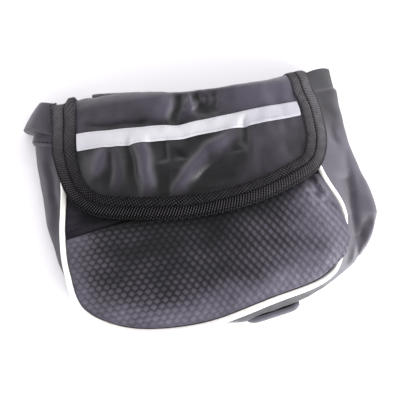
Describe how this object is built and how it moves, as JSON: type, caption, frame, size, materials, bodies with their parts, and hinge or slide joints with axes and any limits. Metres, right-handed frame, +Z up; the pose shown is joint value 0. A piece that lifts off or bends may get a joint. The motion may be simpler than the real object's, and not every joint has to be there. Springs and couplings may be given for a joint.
{
  "type": "top tube bag",
  "caption": "Small soft bicycle pouch with a bound flap, reflective ribbon, honeycomb front panel, white piping and strap tails, lying on its back.",
  "frame": {"origin": "middle of the bag's box, on the surface that it lies on", "axes": "+X across the bag to the picture's right, +Y from the bottom seam to the flap's roll, +Z up through the front panel"},
  "size_m": [0.205, 0.1566, 0.0292],
  "materials": {
    "nylon": "plain-woven coated nylon with a soft sheen",
    "back_nylon": "plain-woven coated nylon",
    "honeycomb_cloth": "embossed honeycomb mesh cloth",
    "grosgrain": "ribbed grosgrain tape",
    "piping_vinyl": "white vinyl piping",
    "reflective_tape": "light grey retroreflective tape",
    "hook_and_loop": "napped hook-and-loop strap"
  },
  "bodies": {
    "root": {"mesh_panel": "honeycomb_cloth", "mouth_band": "nylon", "piping": "piping_vinyl", "gusset": "nylon", "back_panel": "back_nylon", "flap": "nylon", "flap_binding": "grosgrain", "reflective_ribbon": "reflective_tape", "closure_patch": "hook_and_loop", "upper_strap": "hook_and_loop", "lower_strap": "hook_and_loop"}
  },
  "joints": []
}
